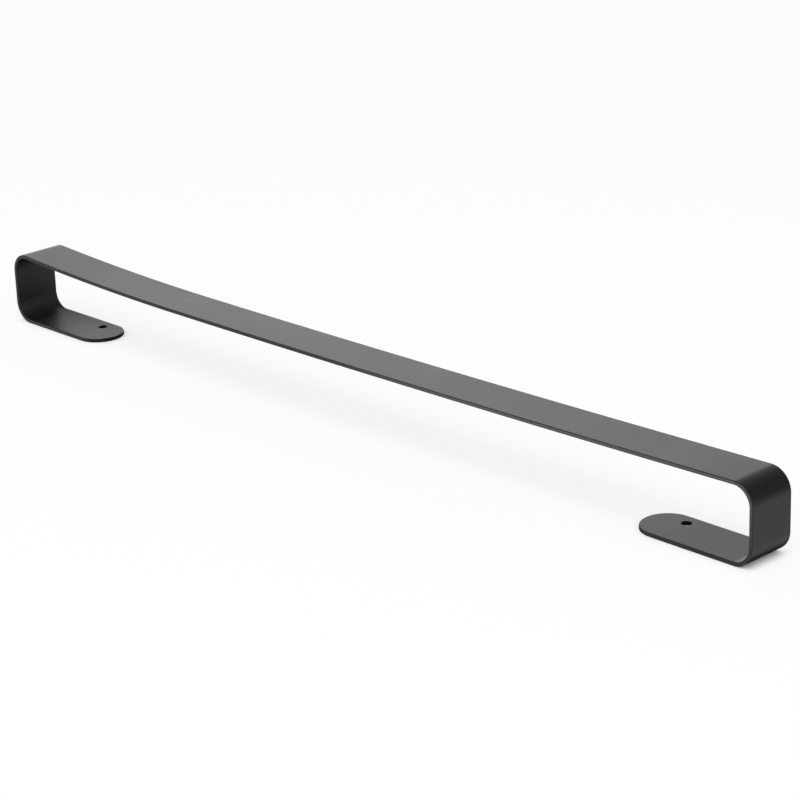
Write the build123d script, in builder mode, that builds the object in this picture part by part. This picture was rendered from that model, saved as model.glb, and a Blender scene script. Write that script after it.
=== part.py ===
from build123d import *

import os
from math import asin, degrees

# Towel bar: one steel strip folded at four bends into a bar, two legs and two feet.
# X runs along the bar, Y across the strip and Z away from the wall.
# The origin lies in the wall plane, midway between the two legs. All sizes are in millimetres.

# Driving dimensions
bar_length = 600.0
projection = 45.0
strip_width = 30.0
strip_thickness = 2.3
inside_bend_radius = 10.0
foot_length = 81.0

# The bar isn't quite straight: it sags towards the wall, deepest left of the middle
bar_bow = 4.5
bow_low_point = -140.0

# One screw hole in each foot, off the strip's centre line
hole_diameter = 5.5
hole_inset = 60.0
hole_offset = 7.0

# Edges as they are left by deburring and coating
edge_rounding = 0.5
hole_rounding = 0.3

# Places that follow from the driving dimensions
half_length = bar_length / 2
outside_bend_radius = inside_bend_radius + strip_thickness
fold_radius = inside_bend_radius + strip_thickness / 2
bend_centre_x = half_length - outside_bend_radius
leg_straight = projection - 2 * outside_bend_radius
foot_end_centre = half_length - foot_length + strip_width / 2
foot_straight = bend_centre_x - foot_end_centre
hole_x = half_length - hole_inset


def bow_arc(run):
    """Radius of the bar's arc over a run from a bend to the low point, and the slope where they meet."""
    centre_distance = (run**2 + bar_bow**2) / (2 * bar_bow)
    slope = degrees(asin(run / centre_distance))
    return centre_distance - fold_radius, slope


left_bow_radius, left_slope = bow_arc(bow_low_point + bend_centre_x)
right_bow_radius, right_slope = bow_arc(bend_centre_x - bow_low_point)

with BuildPart() as towel_bar:
    # The strip seen from its edge: the fold line goes from the left foot round to the right one
    with BuildSketch(Plane.XZ):
        with BuildLine() as fold_line:
            foot_start = (-foot_end_centre, strip_thickness / 2)
            left_foot = PolarLine(foot_start, foot_straight, angle=180)
            left_low_bend = JernArc(left_foot @ 1, left_foot % 1, fold_radius, -90)
            left_leg = PolarLine(left_low_bend @ 1, leg_straight, direction=left_low_bend % 1)
            left_top_bend = JernArc(left_leg @ 1, left_leg % 1, fold_radius, -90 - left_slope)
            bar_left = JernArc(left_top_bend @ 1, left_top_bend % 1, left_bow_radius, left_slope)
            bar_right = JernArc(bar_left @ 1, bar_left % 1, right_bow_radius, right_slope)
            right_top_bend = JernArc(bar_right @ 1, bar_right % 1, fold_radius, -90 - right_slope)
            right_leg = PolarLine(right_top_bend @ 1, leg_straight, direction=right_top_bend % 1)
            right_low_bend = JernArc(right_leg @ 1, right_leg % 1, fold_radius, -90)
            PolarLine(right_low_bend @ 1, foot_straight, direction=right_low_bend % 1)
        trace(line_width=strip_thickness)
    extrude(amount=strip_width / 2, both=True)

    # Full-round ends of the feet
    with BuildSketch(Plane.XY):
        with Locations((-foot_end_centre, 0), (foot_end_centre, 0)):
            Circle(strip_width / 2)
    extrude(amount=strip_thickness)

    # Screw holes through the feet
    with Locations((-hole_x, hole_offset, strip_thickness), (hole_x, hole_offset, strip_thickness)):
        Hole(hole_diameter / 2, depth=strip_thickness)

    # Softened edges, all round the strip and at both rims of each hole
    side_edges = towel_bar.faces().filter_by(Axis.Y).edges()
    long_edges = side_edges.filter_by(lambda edge: edge.length > strip_thickness * 1.01)
    round_edges = towel_bar.edges().filter_by(GeomType.CIRCLE)
    end_edges = round_edges.filter_by(lambda edge: abs(edge.radius - strip_width / 2) < 1e-3)
    fillet(long_edges + end_edges, edge_rounding)
    round_edges = towel_bar.edges().filter_by(GeomType.CIRCLE)
    rim_edges = round_edges.filter_by(lambda edge: abs(edge.radius - hole_diameter / 2) < 1e-3)
    fillet(rim_edges, hole_rounding)

towel_bar.part.label = "towel_bar"

os.makedirs("parts", exist_ok=True)
export_step(towel_bar.part, "parts/towel_bar.step")
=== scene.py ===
"""A towel bar folded from one steel strip and powder coated black, set out for a studio picture.

Everything is in metres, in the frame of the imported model: X along the bar, Y across the strip,
Z away from the wall that the two feet are screwed to.
"""

import logging
import math
from collections.abc import Collection, Iterable, Mapping, Sequence
from dataclasses import dataclass, field
from enum import Enum
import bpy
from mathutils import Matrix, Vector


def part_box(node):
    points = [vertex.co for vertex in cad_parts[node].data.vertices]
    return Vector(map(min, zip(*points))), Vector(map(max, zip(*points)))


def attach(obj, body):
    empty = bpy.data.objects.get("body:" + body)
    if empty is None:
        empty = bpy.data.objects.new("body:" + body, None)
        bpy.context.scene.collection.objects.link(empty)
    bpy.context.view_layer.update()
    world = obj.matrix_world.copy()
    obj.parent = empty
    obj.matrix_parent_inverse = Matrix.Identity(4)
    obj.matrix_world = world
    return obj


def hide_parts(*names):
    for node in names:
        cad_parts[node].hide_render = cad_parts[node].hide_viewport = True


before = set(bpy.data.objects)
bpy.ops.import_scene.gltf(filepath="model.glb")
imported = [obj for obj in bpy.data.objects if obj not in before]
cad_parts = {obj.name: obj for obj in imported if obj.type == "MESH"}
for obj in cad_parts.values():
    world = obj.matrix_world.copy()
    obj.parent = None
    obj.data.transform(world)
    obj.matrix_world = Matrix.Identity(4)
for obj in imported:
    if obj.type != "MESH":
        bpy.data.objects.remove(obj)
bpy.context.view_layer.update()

from types import MappingProxyType
from typing import Any, Optional, Union

import bpy
from mathutils import Matrix, Vector

MM = 0.001
QUARTER_TURN = math.pi / 2
EIGHTH_TURN = math.pi / 4
NO_VALUES: Mapping[Any, Any] = MappingProxyType({})

# The colour sockets of a Mix node, which share their names with its sockets for numbers
FIRST_COLOUR = 6
SECOND_COLOUR = 7
MIXED_COLOUR = 2

log = logging.getLogger("towel_bar")

# A place or a direction
Point = tuple[float, float, float]
# Where a line has got to: its x, its z and its heading
Reached = tuple[float, float, float]
# A point of a rounded wall: its inset and depth, and how much it faces out and forward
WallPoint = tuple[float, float, float, float]
# A row across the blank: its place along the fold line and the angle of its edge
Row = tuple[float, float]
# A cell of the blank's grid: its row and its column
Cell = tuple[int, int]


class Socket:
    """A node's output, with the arithmetic that an expression on shader values needs."""

    def __init__(self, graph: "NodeGraph", output: Optional[bpy.types.NodeSocket]) -> None:
        """Keeps the graph that new Math nodes go to, and the output itself."""
        self.graph = graph
        self.output = output

    def maths(self, operation: str, *values: "Value") -> "Socket":
        """Adds a Math node.

        Args:
            operation: The Math node's operation.
            values: What goes into its sockets, in order.

        Returns:
            The node's result.
        """
        return self.graph.add("ShaderNodeMath", {"operation": operation}, dict(enumerate(values)))

    def __add__(self, other: "Value") -> "Socket":
        """Returns self + other."""
        return self.maths("ADD", self, other)

    def __radd__(self, other: "Value") -> "Socket":
        """Returns other + self."""
        return self.maths("ADD", other, self)

    def __sub__(self, other: "Value") -> "Socket":
        """Returns self - other."""
        return self.maths("SUBTRACT", self, other)

    def __rsub__(self, other: "Value") -> "Socket":
        """Returns other - self."""
        return self.maths("SUBTRACT", other, self)

    def __mul__(self, other: "Value") -> "Socket":
        """Returns self * other."""
        return self.maths("MULTIPLY", self, other)

    def __rmul__(self, other: "Value") -> "Socket":
        """Returns other * self."""
        return self.maths("MULTIPLY", other, self)

    def __abs__(self) -> "Socket":
        """Returns the value without its sign."""
        return self.maths("ABSOLUTE", self)


Value = Union[Socket, float]


class NodeGraph:
    """The nodes of one material or of the world."""

    def __init__(self, owner: Union[bpy.types.Material, bpy.types.World]) -> None:
        """Starts from an empty node tree.

        Args:
            owner: What the nodes belong to.
        """
        owner.use_nodes = True
        self.tree = owner.node_tree
        self.tree.nodes.clear()

    def add(
        self,
        kind: str,
        settings: Mapping[str, Any] = NO_VALUES,
        inputs: Mapping[Union[str, int], Any] = NO_VALUES,
        output: Union[str, int] = 0,
    ) -> Socket:
        """Adds one node.

        Args:
            kind: The node's type.
            settings: Its own properties, set before its sockets.
            inputs: A value, or a Socket to link, for each of its sockets.
            output: The output to return.

        Returns:
            That output; a node that has none gives an empty Socket.
        """
        node = self.tree.nodes.new(kind)
        for name, setting in settings.items():
            setattr(node, name, setting)
        for name, value in inputs.items():
            if isinstance(value, Socket):
                self.tree.links.new(value.output, node.inputs[name])
            else:
                node.inputs[name].default_value = value
        return Socket(self, node.outputs[output] if len(node.outputs) else None)

    def sibling(self, socket: Socket, output: str) -> Socket:
        """Returns another output of the node that socket comes from."""
        return Socket(self, socket.output.node.outputs[output])


def grey_colour(level: float) -> tuple[float, float, float, float]:
    """Returns a grey as a colour socket takes it."""
    return level, level, level, 1.0


@dataclass(frozen=True)
class PowderCoat:
    """A satin black powder coat: fine grain, a faint orange peel, and a thinner film on edges."""

    name: str = "black_powder_coat"
    deep_black: float = 0.005
    worn_black: float = 0.007
    roughness: float = 0.44
    roughness_swing: float = 0.05
    edge_smoothing: float = 0.05
    film_edge: float = 1.4 * MM
    ior: float = 1.4
    grain_size: float = 0.4 * MM
    peel_size: float = 2.2 * MM
    cloud_size: float = 45 * MM
    grain_layers: float = 2.0
    peel_layers: float = 1.0
    cloud_layers: float = 3.0
    layer_share: float = 0.5
    noise_middle: float = 0.5
    relief: float = 0.05 * MM
    peel_share: float = 0.55

    def material(self, half_width: float) -> bpy.types.Material:
        """Makes the coat's material.

        Args:
            half_width: Half the strip's width, where its edges are.

        Returns:
            The material.
        """
        made = bpy.data.materials.new(self.name)
        graph = NodeGraph(made)
        place = graph.add("ShaderNodeTexCoord", output="Object")
        grain = self.noise(graph, place, self.grain_size, self.grain_layers)
        peel = self.noise(graph, place, self.peel_size, self.peel_layers)
        cloud = self.noise(graph, place, self.cloud_size, self.cloud_layers)
        across = graph.add("ShaderNodeSeparateXYZ", inputs={"Vector": place}, output="Y")
        edge = graph.add(
            "ShaderNodeMapRange",
            {"interpolation_type": "SMOOTHSTEP"},
            {"Value": abs(across), "From Min": half_width - self.film_edge, "From Max": half_width},
        )
        black = graph.add(
            "ShaderNodeMix",
            {"data_type": "RGBA"},
            {
                "Factor": cloud,
                FIRST_COLOUR: grey_colour(self.deep_black),
                SECOND_COLOUR: grey_colour(self.worn_black),
            },
            output=MIXED_COLOUR,
        )
        swing = self.roughness_swing * (cloud - self.noise_middle)
        swing = swing + self.roughness_swing * (grain - self.noise_middle)
        height = peel * self.peel_share + grain * (1 - self.peel_share)
        bump = graph.add(
            "ShaderNodeBump",
            inputs={"Strength": 1.0, "Distance": self.relief, "Height": height},
        )
        shader = graph.add(
            "ShaderNodeBsdfPrincipled",
            inputs={
                "Base Color": black,
                "Roughness": self.roughness + swing - self.edge_smoothing * edge,
                "IOR": self.ior,
                "Normal": bump,
            },
        )
        graph.add("ShaderNodeOutputMaterial", inputs={"Surface": shader})
        return made

    def noise(self, graph: NodeGraph, place: Socket, size: float, layers: float) -> Socket:
        """Adds noise whose lumps are about size across.

        Args:
            graph: Where it goes.
            place: The coordinates, in metres.
            size: The lumps' size.
            layers: How many finer layers it has.

        Returns:
            The noise, around its middle.
        """
        return graph.add(
            "ShaderNodeTexNoise",
            inputs={
                "Vector": place,
                "Scale": 1 / size,
                "Detail": layers,
                "Roughness": self.layer_share,
            },
        )


@dataclass(frozen=True)
class WhiteSweep:
    """The studio's white floor, which the camera and the reflections see as near white."""

    name: str = "white_sweep"
    paint: float = 0.9
    whiteness: float = 0.8
    painted_shade_reach: float = 6 * MM
    painted_shade_rays: int = 3

    def material(self) -> bpy.types.Material:
        """Makes the floor's material, which keeps a faint share of the shadows on it and has a
        painted contact shade close to the bar.

        Returns:
            The material.
        """
        made = bpy.data.materials.new(self.name)
        graph = NodeGraph(made)
        camera = graph.add("ShaderNodeLightPath", output="Is Camera Ray")
        # Painted contact shade: ambient occlusion over a few millimetres takes the glow off the
        # floor next to the bar and under its feet, leaving only the lit paint there.
        clear = graph.add(
            "ShaderNodeAmbientOcclusion",
            {"samples": self.painted_shade_rays},
            {"Distance": self.painted_shade_reach},
            output="AO",
        )
        seen = camera * clear + graph.sibling(camera, "Is Glossy Ray")
        seen = seen + graph.sibling(camera, "Is Transmission Ray")
        paint = graph.add("ShaderNodeBsdfDiffuse", inputs={"Color": grey_colour(self.paint)})
        glow = graph.add("ShaderNodeEmission", inputs={"Strength": 1.0})
        mixed = graph.add(
            "ShaderNodeMixShader", inputs={0: seen * self.whiteness, 1: paint, 2: glow}
        )
        graph.add("ShaderNodeOutputMaterial", inputs={"Surface": mixed})
        return made


@dataclass(frozen=True)
class GlossShade:
    """The dull grey of the sheets that only the coat's gloss sees: painted shade in its reflections,
    on the flags and under the bar.
    """

    name: str = "painted_gloss_shade"
    grey: float = 0.15

    def material(self) -> bpy.types.Material:
        """Makes the material of the painted reflection shade.

        Returns:
            The material.
        """
        made = bpy.data.materials.new(self.name)
        graph = NodeGraph(made)
        gloss_shade = graph.add("ShaderNodeBsdfDiffuse", inputs={"Color": grey_colour(self.grey)})
        graph.add("ShaderNodeOutputMaterial", inputs={"Surface": gloss_shade})
        return made


class Turn(Enum):
    """Which way a bend turns, seen from the front with X to the right and Z up."""

    LEFT = 1.0
    RIGHT = -1.0


class Facing(Enum):
    """What a lamp shines at."""

    BAR = "bar"
    CEILING = "ceiling"


@dataclass(frozen=True)
class Run:
    """One stretch of the fold line, straight or of one radius."""

    x: float
    z: float
    heading: float
    length: float
    turned: float
    steps: int

    def at(self, distance: float) -> Reached:
        """Follows the run.

        Args:
            distance: How far along, from its start; before it, the run is carried on.

        Returns:
            The x, the z and the heading there.
        """
        if self.turned == 0.0:
            ahead_x, ahead_z = math.cos(self.heading), math.sin(self.heading)
            return self.x + distance * ahead_x, self.z + distance * ahead_z, self.heading
        bend = self.turned / self.length
        heading = self.heading + bend * distance
        x = self.x + (math.sin(heading) - math.sin(self.heading)) / bend
        z = self.z + (math.cos(self.heading) - math.cos(heading)) / bend
        return x, z, heading


class FoldLine:
    """The middle of the strip's thickness, as a chain of runs that meet without a kink."""

    def __init__(self, x: float, z: float, heading: float) -> None:
        """Starts the line.

        Args:
            x: Where it starts along the bar.
            z: Where it starts, out from the wall.
            heading: Which way it sets off.
        """
        self.end: Reached = (x, z, heading)
        self.runs: list[Run] = []
        self.starts: list[float] = []
        self.length = 0.0

    def go(self, length: float, turned: float, steps: int) -> None:
        """Adds a run.

        Args:
            length: Its length.
            turned: The angle that it turns by, positive to the left.
            steps: How many steps it is cut into.
        """
        run = Run(*self.end, length, turned, steps)
        self.runs.append(run)
        self.starts.append(self.length)
        self.length += length
        self.end = run.at(length)

    def straight(self, length: float, steps: int) -> None:
        """Adds a straight run."""
        self.go(length, 0.0, steps)

    def arc(self, radius: float, angle: float, turn: Turn, steps: int) -> None:
        """Adds an arc of that radius through that angle."""
        self.go(radius * angle, turn.value * angle, steps)

    def stations(self) -> list[float]:
        """Lists the ends of all the runs' steps.

        Returns:
            Their distances along the line, from its start to its end.
        """
        found = [0.0]
        for start, run in zip(self.starts, self.runs):
            found += [start + run.length * step / run.steps for step in range(1, run.steps + 1)]
        return found

    def at(self, distance: float) -> Reached:
        """Returns the x, z and heading at a distance along the line, which goes on past its ends."""
        index = max([i for i, start in enumerate(self.starts) if start <= distance], default=0)
        return self.runs[index].at(distance - self.starts[index])


@dataclass(frozen=True)
class BlankPoint:
    """A point of the strip before it is folded: along it, across it and through its thickness."""

    along: float
    across: float
    through: float
    facing: Point


@dataclass(frozen=True)
class EdgeRound:
    """A wall with both its corners rounded, as a coated edge has them."""

    thickness: float
    radius: float
    steps: int = 6

    def profile(self) -> list[WallPoint]:
        """Follows the wall from the front skin to the back skin, without its first and last point.

        Returns:
            For each point, how far it lies inside the wall, its place through the thickness, and
            how much it faces out and forward.
        """
        half = self.thickness / 2
        front = []
        for step in range(1, self.steps + 1):
            angle = QUARTER_TURN * step / self.steps
            out, forward = math.sin(angle), math.cos(angle)
            inset = self.radius * (1 - out)
            front.append((inset, half - self.radius * (1 - forward), out, forward))
        back = [(inset, -depth, out, -forward) for inset, depth, out, forward in reversed(front)]
        return front + [(0.0, 0.0, 1.0, 0.0)] + back


@dataclass
class MeshStore:
    """Points and faces of a mesh that is being made; points in one place are one point."""

    places: list[Point] = field(default_factory=list)
    normals: list[Point] = field(default_factory=list)
    faces: list[list[int]] = field(default_factory=list)
    known: dict[Point, int] = field(default_factory=dict)
    decimals: int = 9

    def point(self, place: Point, normal: Point) -> int:
        """Finds the point at a place, which is added if it is new.

        Args:
            place: The place.
            normal: The way that a new point faces.

        Returns:
            The point's number.
        """
        key = tuple(round(value, self.decimals) for value in place)
        if key not in self.known:
            self.known[key] = len(self.places)
            self.places.append(place)
            self.normals.append(normal)
        return self.known[key]

    def face(self, corners: Iterable[int]) -> None:
        """Adds a face, unless fewer than three different corners are left.

        Args:
            corners: The numbers of its corners, of which those that fall together count once.
        """
        distinct = list(dict.fromkeys(corners))
        if len(distinct) > 2:
            self.faces.append(distinct)

    def loft(self, loops: Sequence[Sequence[int]], left_open: Collection[Cell] = ()) -> None:
        """Joins each closed loop of points to the next one by four-sided faces.

        Args:
            loops: The loops, all with the same number of points.
            left_open: The cells that get no face, each by the number of its loop and its point.
        """
        for row, (first, second) in enumerate(zip(loops, loops[1:])):
            for here in range(len(first)):
                if (row, here) in left_open:
                    continue
                after = (here + 1) % len(first)
                self.face((first[here], second[here], second[after], first[after]))

    def object(self, name: str) -> bpy.types.Object:
        """Makes the object, shaded smooth with the normals given for its points.

        Args:
            name: The object's name.

        Returns:
            The object, linked to the scene.
        """
        mesh = bpy.data.meshes.new(name)
        mesh.from_pydata(self.places, [], self.faces)
        mesh.validate()
        mesh.shade_smooth()
        mesh.normals_split_custom_set_from_vertices(self.normals)
        made = bpy.data.objects.new(name, mesh)
        bpy.context.collection.objects.link(made)
        return made


@dataclass
class FoldedStrip:
    """The whole towel bar: one strip with round ends, two screw holes and four bends."""

    length: float
    width: float
    projection: float = 45 * MM
    thickness: float = 2.3 * MM
    inside_bend_radius: float = 10 * MM
    foot_length: float = 81 * MM
    bow: float = 4.5 * MM
    bow_low_point: float = -140 * MM
    hole_radius: float = 2.75 * MM
    hole_inset: float = 60 * MM
    hole_offset: float = 7 * MM
    edge_round: float = 0.5 * MM
    hole_round: float = 0.3 * MM
    hole_round_steps: int = 4
    foot_steps: int = 8
    leg_steps: int = 4
    bend_steps: int = 40
    bow_step: float = 8 * MM
    end_steps: int = 16
    patch_half: float = 4.6 * MM
    patch_margin: float = 1 * MM
    patch_steps: int = 12
    plain_columns: tuple[float, ...] = (-1.0, -0.75, -0.5, -0.25, 0.0)

    def fold_line(self) -> FoldLine:
        """Lays out the middle of the strip's thickness.

        Returns:
            The line, from the left foot's round end to the right foot's.
        """
        half_length = self.length / 2
        fold_radius = self.inside_bend_radius + self.thickness / 2
        bend_reach = self.inside_bend_radius + self.thickness
        bend_x = half_length - bend_reach
        foot_end = half_length - self.foot_length + self.width / 2
        foot_straight = bend_x - foot_end
        leg_straight = self.projection - 2 * bend_reach
        left_radius, left_slope = self.bow_arc(self.bow_low_point + bend_x, fold_radius)
        right_radius, right_slope = self.bow_arc(bend_x - self.bow_low_point, fold_radius)
        left_steps = round(left_radius * left_slope / self.bow_step)
        right_steps = round(right_radius * right_slope / self.bow_step)
        line = FoldLine(-foot_end, self.thickness / 2, math.pi)
        line.straight(foot_straight, self.foot_steps)
        line.arc(fold_radius, QUARTER_TURN, Turn.RIGHT, self.bend_steps)
        line.straight(leg_straight, self.leg_steps)
        line.arc(fold_radius, QUARTER_TURN + left_slope, Turn.RIGHT, self.bend_steps)
        line.arc(left_radius, left_slope, Turn.LEFT, left_steps)
        line.arc(right_radius, right_slope, Turn.LEFT, right_steps)
        line.arc(fold_radius, QUARTER_TURN + right_slope, Turn.RIGHT, self.bend_steps)
        line.straight(leg_straight, self.leg_steps)
        line.arc(fold_radius, QUARTER_TURN, Turn.RIGHT, self.bend_steps)
        line.straight(foot_straight, self.foot_steps)
        return line

    def bow_arc(self, run: float, fold_radius: float) -> tuple[float, float]:
        """Finds the arc that joins the bow's lowest point to a front bend without a kink.

        Args:
            run: The distance along X from the low point to the bend's centre.
            fold_radius: The bend's radius.

        Returns:
            The arc's radius and the angle it turns through.
        """
        centre_distance = (run ** 2 + self.bow ** 2) / (2 * self.bow)
        return centre_distance - fold_radius, math.asin(run / centre_distance)

    def patch_places(self, centre: float) -> list[float]:
        """Spaces the grid lines round a hole so that they meet its rim at even angles.

        Args:
            centre: The hole's place, along the strip or across it.

        Returns:
            The lines' places.
        """
        steps = range(self.patch_steps + 1)
        angles = [EIGHTH_TURN * (2 * step / self.patch_steps - 1) for step in steps]
        return [centre + self.patch_half * math.tan(angle) for angle in angles]

    def build(self) -> bpy.types.Object:
        """Makes the strip as a flat blank and folds it along its line.

        Returns:
            The strip's object.
        """
        line = self.fold_line()
        reach = self.width / 2
        skin = reach - self.edge_round
        from_end = self.foot_length - reach - self.hole_inset
        hole_places = [from_end, line.length - from_end]
        rows = self.rows(line, hole_places)
        columns = list(self.plain_columns)
        columns += [place / skin for place in self.patch_places(self.hole_offset)] + [1.0]
        rim = EdgeRound(self.thickness, self.edge_round).profile()
        store = MeshStore()
        rings = []
        for base, lean in rows:
            ring = self.ring(base, lean, columns, rim)
            rings.append([self.folded(store, line, point) for point in ring])
        twin_sum = 2 * len(columns) + len(rim) - 1
        open_cells: set[Cell] = set()
        for place in hole_places:
            first_row = self.row_at(rows, self.patch_places(place)[0])
            bore = self.bore(store, line, place)
            open_cells |= self.open_hole(store, rings, bore, first_row, twin_sum)
        store.loft(rings, open_cells)
        return store.object("coated_strip")

    @staticmethod
    def row_at(rows: Sequence[Row], place: float) -> int:
        """Returns the number of the straight row that is nearest to a place along the fold line."""
        return min(range(len(rows)), key=lambda i: abs(rows[i][0] - place) + abs(rows[i][1]))

    def open_hole(
        self,
        store: MeshStore,
        rings: Sequence[Sequence[int]],
        bore: Sequence[Sequence[int]],
        first_row: int,
        twin_sum: int,
    ) -> set[Cell]:
        """Joins a hole's bore to the grid round it, on the front skin and on the back skin.

        Args:
            store: The mesh that the faces go to.
            rings: The grid's points, ring by ring.
            bore: The bore's rings of points, from the back skin to the front skin.
            first_row: The first row of the patch round the hole.
            twin_sum: What a front column's number and that of the back column behind it add up to.

        Returns:
            The grid's cells that the hole and its patch take up.
        """
        last_row = first_row + self.patch_steps
        first_column = len(self.plain_columns)
        last_column = first_column + self.patch_steps
        walk = self.patch_walk(first_row, last_row, first_column, last_column)
        front = [rings[row][column] for row, column in walk]
        back = [rings[row][twin_sum - column] for row, column in walk]
        store.loft([back, *bore, front])
        cells: set[Cell] = set()
        for row in range(first_row, last_row):
            for column in range(first_column, last_column):
                cells.add((row, column))
                cells.add((row, twin_sum - column - 1))
        return cells

    def rows(self, line: FoldLine, hole_places: Sequence[float]) -> list[Row]:
        """Lists the cross rows of the blank.

        Args:
            line: The fold line.
            hole_places: How far along it the holes are.

        Returns:
            For each row, the place along the line that it belongs to and the angle of its edge:
            0 along the sides, and up to a right angle over the round ends.
        """
        places = []
        patches = [self.patch_places(place) for place in hole_places]
        margin = self.patch_margin
        for station in line.stations():
            if not any(patch[0] - margin < station < patch[-1] + margin for patch in patches):
                places.append(station)
        places += [place for patch in patches for place in patch]
        leans = [QUARTER_TURN * (1 - step / self.end_steps) for step in range(self.end_steps)]
        start = [(0.0, -lean) for lean in leans]
        finish = [(line.length, lean) for lean in reversed(leans)]
        return start + [(place, 0.0) for place in sorted(places)] + finish

    def ring(
        self,
        base: float,
        lean: float,
        columns: Sequence[float],
        rim: Sequence[WallPoint],
    ) -> list[BlankPoint]:
        """Goes once round the blank's section at a row: front skin, rim, back skin, rim.

        Args:
            base: The row's place along the fold line.
            lean: The angle of its edge.
            columns: The places across the skin, from -1 to 1.
            rim: The rim's profile.

        Returns:
            The points, in order.
        """
        reach = self.width / 2
        half = self.thickness / 2
        over, side = math.sin(lean), math.cos(lean)
        skin = reach - self.edge_round
        front = [
            BlankPoint(base + skin * over, place * skin * side, half, (0.0, 0.0, 1.0))
            for place in columns
        ]
        right = [
            BlankPoint(
                base + (reach - inset) * over,
                (reach - inset) * side,
                depth,
                (out * over, out * side, forward),
            )
            for inset, depth, out, forward in rim
        ]
        back = [
            BlankPoint(base + skin * over, place * skin * side, -half, (0.0, 0.0, -1.0))
            for place in reversed(columns)
        ]
        left = [
            BlankPoint(p.along, -p.across, p.through, (p.facing[0], -p.facing[1], p.facing[2]))
            for p in reversed(right)
        ]
        return front + right + back + left

    @staticmethod
    def folded(store: MeshStore, line: FoldLine, point: BlankPoint) -> int:
        """Puts a point of the blank where folding takes it.

        Args:
            store: The mesh that it goes to.
            line: The fold line.
            point: The point.

        Returns:
            The point's number in the mesh.
        """
        x, z, heading = line.at(point.along)
        ahead_x, ahead_z = math.cos(heading), math.sin(heading)
        along, across, forward = point.facing
        place = (x - point.through * ahead_z, point.across, z + point.through * ahead_x)
        facing = (along * ahead_x - forward * ahead_z, across, along * ahead_z + forward * ahead_x)
        return store.point(place, facing)

    @staticmethod
    def patch_walk(start: int, stop: int, low: int, high: int) -> list[Cell]:
        """Goes once round the patch of a hole, in the order in which the bore's rings go round.

        Args:
            start: The patch's first row.
            stop: Its last row.
            low: Its first column.
            high: Its last column.

        Returns:
            The row and the column of each grid point, from the corner of last row and first column.
        """
        walk = [(stop, column) for column in range(low, high)]
        walk += [(row, high) for row in range(stop, start, -1)]
        walk += [(start, column) for column in range(high, low, -1)]
        walk += [(row, low) for row in range(start, stop)]
        return walk

    def bore(self, store: MeshStore, line: FoldLine, place: float) -> list[list[int]]:
        """Makes the rings of a screw hole, from the back skin to the front skin.

        Args:
            store: The mesh that they go to.
            line: The fold line.
            place: How far along it the hole is.

        Returns:
            The rings, each as point numbers.
        """
        half = self.thickness / 2
        profile = EdgeRound(self.thickness, self.hole_round, self.hole_round_steps).profile()
        profile = [(self.hole_round, half, 0.0, 1.0), *profile, (self.hole_round, -half, 0.0, -1.0)]
        count = 4 * self.patch_steps
        rings = []
        for inset, depth, out, forward in reversed(profile):
            ring = []
            for step in range(count):
                angle = 2 * math.pi * step / count - EIGHTH_TURN
                over, side = math.cos(angle), math.sin(angle)
                radius = self.hole_radius + inset
                facing = (-out * over, -out * side, forward)
                point = BlankPoint(
                    place + radius * over, self.hole_offset + radius * side, depth, facing
                )
                ring.append(self.folded(store, line, point))
            rings.append(ring)
        return rings

    def dress(self, strip: bpy.types.Object, coat: PowderCoat) -> None:
        """Gives the strip its coat, and puts it in the place of the solid.

        Args:
            strip: The strip's object.
            coat: The finish.
        """
        strip.data.materials.append(coat.material(self.width / 2))
        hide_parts("towel_bar")
        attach(strip, "root")


def outward(azimuth: float, elevation: float = 0.0) -> Vector:
    """Finds a direction out from the bar.

    Args:
        azimuth: Degrees round from straight in front, to the right.
        elevation: Degrees up from level.

    Returns:
        The direction.
    """
    turn, rise = math.radians(azimuth), math.radians(elevation)
    level = math.cos(rise)
    return Vector((math.sin(turn) * level, -math.cos(turn) * level, math.sin(rise)))


def sideways(azimuth: float) -> Vector:
    """Returns the level direction that is to the right of someone who looks in from an azimuth."""
    return outward(azimuth + math.degrees(QUARTER_TURN))


@dataclass(frozen=True)
class SoftBox:
    """A soft lamp, as wide and as tall as its diffuser."""

    name: str
    azimuth: float
    elevation: float
    distance: float
    width: float
    height: float
    brightness: float
    facing: Facing = Facing.BAR

    def build(self) -> bpy.types.Object:
        """Makes the lamp, whose diffuser is white at a brightness of 1.

        Returns:
            The lamp's object, which the camera doesn't see.
        """
        ahead = outward(self.azimuth, self.elevation)
        aim = -ahead if self.facing is Facing.BAR else Vector((0.0, 0.0, 1.0))
        lamp = bpy.data.lights.new(self.name, "AREA")
        lamp.shape = "RECTANGLE"
        lamp.size = self.width
        lamp.size_y = self.height
        lamp.energy = self.brightness * math.pi * self.width * self.height
        made = bpy.data.objects.new(self.name, lamp)
        made.location = ahead * self.distance
        made.rotation_euler = aim.to_track_quat("-Z", "Y").to_euler()
        made.visible_camera = False
        bpy.context.collection.objects.link(made)
        return made


@dataclass(frozen=True)
class OverheadBox(SoftBox):
    """The lamp above the set, which lights the floor."""

    name: str = "overhead_softbox"
    azimuth: float = 40.0
    elevation: float = 65.0
    distance: float = 3.2
    width: float = 3.2
    height: float = 3.2
    brightness: float = 2.7


@dataclass(frozen=True)
class BackBox(SoftBox):
    """The low lamp behind the bar's left end, whose sheen lies on all that faces up."""

    name: str = "back_softbox"
    azimuth: float = -115.0
    elevation: float = 18.0
    distance: float = 6.0
    width: float = 7.2
    height: float = 3.6
    brightness: float = 1.55


@dataclass(frozen=True)
class FloorPanel(SoftBox):
    """The panel that lies in front of the bar's right half, for a line of light on its edge."""

    name: str = "floor_panel"
    azimuth: float = 37.0
    elevation: float = 0.1
    distance: float = 0.2
    width: float = 0.33
    height: float = 0.2
    brightness: float = 2.3
    facing: Facing = Facing.CEILING


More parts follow.
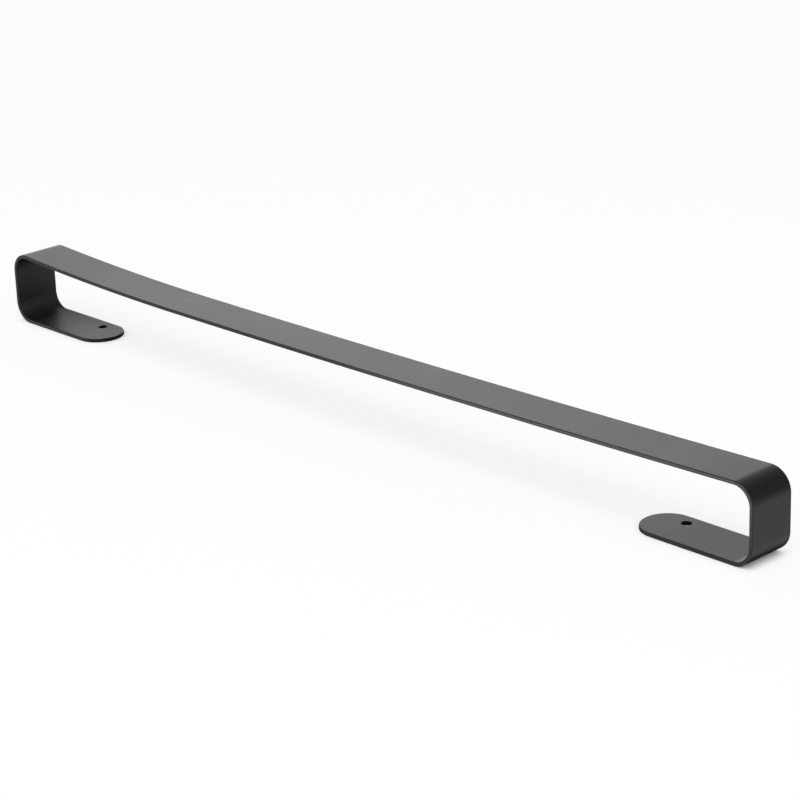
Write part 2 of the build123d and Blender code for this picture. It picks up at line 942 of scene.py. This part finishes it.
def flat_sheet(name: str, corners: Sequence[Sequence[float]]) -> bpy.types.Object:
    """Makes a flat sheet that isn't part of the object.

    Args:
        name: Its name.
        corners: Its four corners.

    Returns:
        Its object.
    """
    mesh = bpy.data.meshes.new(name)
    mesh.from_pydata([tuple(corner) for corner in corners], [], [(0, 1, 2, 3)])
    made = bpy.data.objects.new(name, mesh)
    bpy.context.collection.objects.link(made)
    return made


def gloss_only(sheet: bpy.types.Object, gloss_shade: bpy.types.Material) -> bpy.types.Object:
    """Covers a sheet and leaves it to be seen only in gloss, with no shadow of its own, so that it
    paints shade into reflections alone.

    Args:
        sheet: The sheet.
        gloss_shade: What covers it.

    Returns:
        The same sheet.
    """
    sheet.data.materials.append(gloss_shade)
    sheet.visible_camera = False
    sheet.visible_diffuse = False
    sheet.visible_shadow = False
    return sheet


@dataclass(frozen=True)
class Flag:
    """A flag that stands by the bar and is seen only in the coat's gloss: painted dark in its
    reflections, with no shadow of its own.
    """

    name: str
    beside: float
    azimuth: float
    distance: float
    width: float
    height: float

    def build(self, gloss_shade: bpy.types.Material) -> bpy.types.Object:
        """Stands the flag out from a place along the bar, turned to face it.

        Args:
            gloss_shade: The flag's material.

        Returns:
            The flag's object.
        """
        middle = outward(self.azimuth) * self.distance
        middle.x += self.beside
        side = sideways(self.azimuth) * self.width / 2
        top = Vector((0.0, 0.0, self.height))
        corners = [middle - side, middle + side, middle + side + top, middle - side + top]
        return gloss_only(flat_sheet(self.name, corners), gloss_shade)


@dataclass(frozen=True)
class RightFlag(Flag):
    """The flag behind the bar's right end, which paints dark reflections on the bend and the leg
    there.
    """

    name: str = "right_flag"
    beside: float = 0.30
    azimuth: float = 150.0
    distance: float = 0.3
    width: float = 0.45
    height: float = 0.42


@dataclass(frozen=True)
class LeftFlag(Flag):
    """The low flag behind the left foot, which paints a dark reflection over part of the sheen on
    it.
    """

    name: str = "left_flag"
    beside: float = -0.25
    azimuth: float = -126.0
    distance: float = 0.08
    width: float = 0.1
    height: float = 0.024


@dataclass
class Studio:
    """The floor, the painted shade under the bar that only reflections see, the surround and the
    camera.
    """

    floor_size: float = 60.0
    floor_drop: float = 0.05 * MM
    # Where the strip of painted shade under the bar lies, seen only in reflections.
    under_shade_length: float = 0.602
    under_shade_front: float = -15.5 * MM
    under_shade_back: float = 35 * MM
    low_light: float = 1.0
    high_light: float = 0.12
    light_falls_from: float = 32.0
    light_falls_to: float = 50.0
    camera_azimuth: float = 46.77
    camera_elevation: float = 20.12
    camera_roll: float = -2.01
    camera_distance: float = 1.4935
    aim_right: float = 26.57 * MM
    aim_up: float = 11.13 * MM
    focal_pixels: float = 2631.1
    frame_pixels: float = 800.0
    sensor: float = 36.0

    def floor(self, finish: WhiteSweep) -> bpy.types.Object:
        """Lays the floor just under the feet.

        Args:
            finish: The floor's finish.

        Returns:
            The floor's object.
        """
        half = self.floor_size / 2
        corners = [(-half, -half), (half, -half), (half, half), (-half, half)]
        made = flat_sheet("studio_floor", [(x, y, -self.floor_drop) for x, y in corners])
        made.data.materials.append(finish.material())
        return made

    def painted_under_shade(self, gloss_shade: bpy.types.Material) -> bpy.types.Object:
        """Lays a dark strip under the bar that only gloss sees: painted shade in what the lower
        edges reflect.

        Args:
            gloss_shade: Its material.

        Returns:
            The strip of painted shade.
        """
        ends = self.under_shade_length / 2
        across = [(-ends, self.under_shade_front), (ends, self.under_shade_front)]
        corners = across + [(x, self.under_shade_back) for x in (ends, -ends)]
        level = -self.floor_drop / 2
        return gloss_only(flat_sheet("painted_under_shade", [(x, y, level) for x, y in corners]), gloss_shade)

    def world(self) -> None:
        """Sets a white surround that darkens overhead."""
        made = bpy.data.worlds.new("white_surround")
        bpy.context.scene.world = made
        graph = NodeGraph(made)
        place = graph.add("ShaderNodeTexCoord", output="Generated")
        rise = graph.add("ShaderNodeSeparateXYZ", inputs={"Vector": place}, output="Z")
        light = graph.add(
            "ShaderNodeMapRange",
            {"interpolation_type": "SMOOTHSTEP"},
            {
                "Value": rise,
                "From Min": math.sin(math.radians(self.light_falls_from)),
                "From Max": math.sin(math.radians(self.light_falls_to)),
                "To Min": self.low_light,
                "To Max": self.high_light,
            },
        )
        sky = graph.add("ShaderNodeBackground", inputs={"Strength": light})
        graph.add("ShaderNodeOutputWorld", inputs={"Surface": sky})

    def camera(self) -> bpy.types.Object:
        """Sets the scene's camera where the photograph was taken from.

        Returns:
            The camera's object.
        """
        back = outward(self.camera_azimuth, self.camera_elevation)
        right = sideways(self.camera_azimuth)
        up = back.cross(right)
        lens = bpy.data.cameras.new("photo_camera")
        lens.sensor_width = self.sensor
        lens.lens = self.focal_pixels * self.sensor / self.frame_pixels
        lens.clip_end = 2 * self.floor_size
        made = bpy.data.objects.new("photo_camera", lens)
        made.location = back * self.camera_distance + right * self.aim_right + up * self.aim_up
        roll = math.radians(self.camera_roll)
        level = right * math.cos(roll) + up * math.sin(roll)
        made.rotation_euler = Matrix((level, back.cross(level), back)).transposed().to_euler()
        bpy.context.collection.objects.link(made)
        bpy.context.scene.camera = made
        return made


def main() -> None:
    """Builds the towel bar, dresses it and sets up the studio round it."""
    logging.basicConfig(level=logging.INFO, format="%(name)s: %(message)s")
    low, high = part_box("towel_bar")
    strip = FoldedStrip(length=high[0] - low[0], width=high[1] - low[1])
    piece = strip.build()
    strip.dress(piece, PowderCoat())
    log.info("%s: %d faces", piece.name, len(piece.data.polygons))
    bpy.context.scene.view_settings.view_transform = "Standard"
    studio = Studio()
    studio.world()
    # Dull grey for sheets seen only in gloss, which paint shade into the coat's reflections.
    gloss_shade = GlossShade().material()
    stage = [studio.floor(WhiteSweep()), studio.painted_under_shade(gloss_shade)]
    # Flags seen only in gloss: painted dark reflections on the right bend, the right leg and the
    # left foot.
    stage += [RightFlag().build(gloss_shade), LeftFlag().build(gloss_shade)]
    lamps = [OverheadBox().build(), BackBox().build(), FloorPanel().build()]
    for made in (*stage, *lamps, studio.camera()):
        log.info("%s: placed", made.name)


if __name__ == "__main__":
    main()
